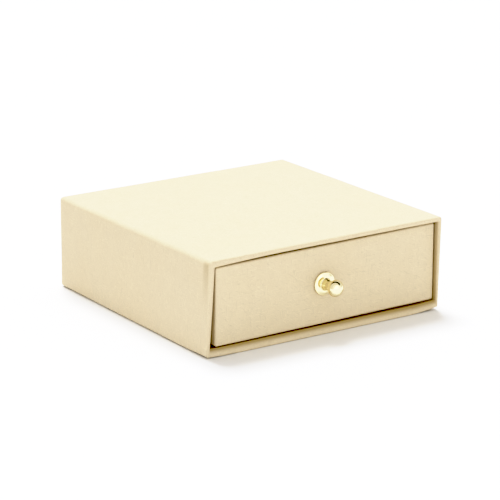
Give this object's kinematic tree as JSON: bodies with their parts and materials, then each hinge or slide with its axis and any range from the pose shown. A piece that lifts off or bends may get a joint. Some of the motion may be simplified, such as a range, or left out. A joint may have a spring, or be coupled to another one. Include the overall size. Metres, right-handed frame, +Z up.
{
  "type": "sliding drawer gift box",
  "caption": "Square paper-covered rigid board gift box: an outer sleeve with a sliding drawer and a small turned brass knob.",
  "frame": {"origin": "centre of the sleeve's flat underside", "axes": "+Z up, the drawer's front and its knob face -Y, +X to the right of someone behind the box and across its width"},
  "size_m": [0.1, 0.1078, 0.0345],
  "materials": {
    "cover_paper": "matte",
    "lining_paper": "matte",
    "greyboard": "matte",
    "brass": "polished",
    "screw_steel": "satin"
  },
  "bodies": {
    "sleeve": {"sleeve_top_board": "greyboard", "sleeve_bottom_board": "greyboard", "sleeve_left_board": "greyboard", "sleeve_right_board": "greyboard", "sleeve_back_board": "greyboard", "sleeve_wrap_paper": "cover_paper", "sleeve_base_paper": "cover_paper", "sleeve_back_paper": "cover_paper", "sleeve_lining_paper": "lining_paper", "sleeve_back_lining": "lining_paper"},
    "drawer": {"drawer_floor_board": "greyboard", "drawer_front_board": "greyboard", "drawer_back_board": "greyboard", "drawer_left_board": "greyboard", "drawer_right_board": "greyboard", "drawer_wrap_paper": "cover_paper", "drawer_wall_lining": "lining_paper", "drawer_floor_lining": "lining_paper", "knob": "brass", "knob_screw": "screw_steel"}
  },
  "joints": [
    {"name": "drawer_slide", "type": "slide", "parent": "sleeve", "child": "drawer", "axis": [0, -1, 0], "range_m": [0, 0.1]}
  ]
}
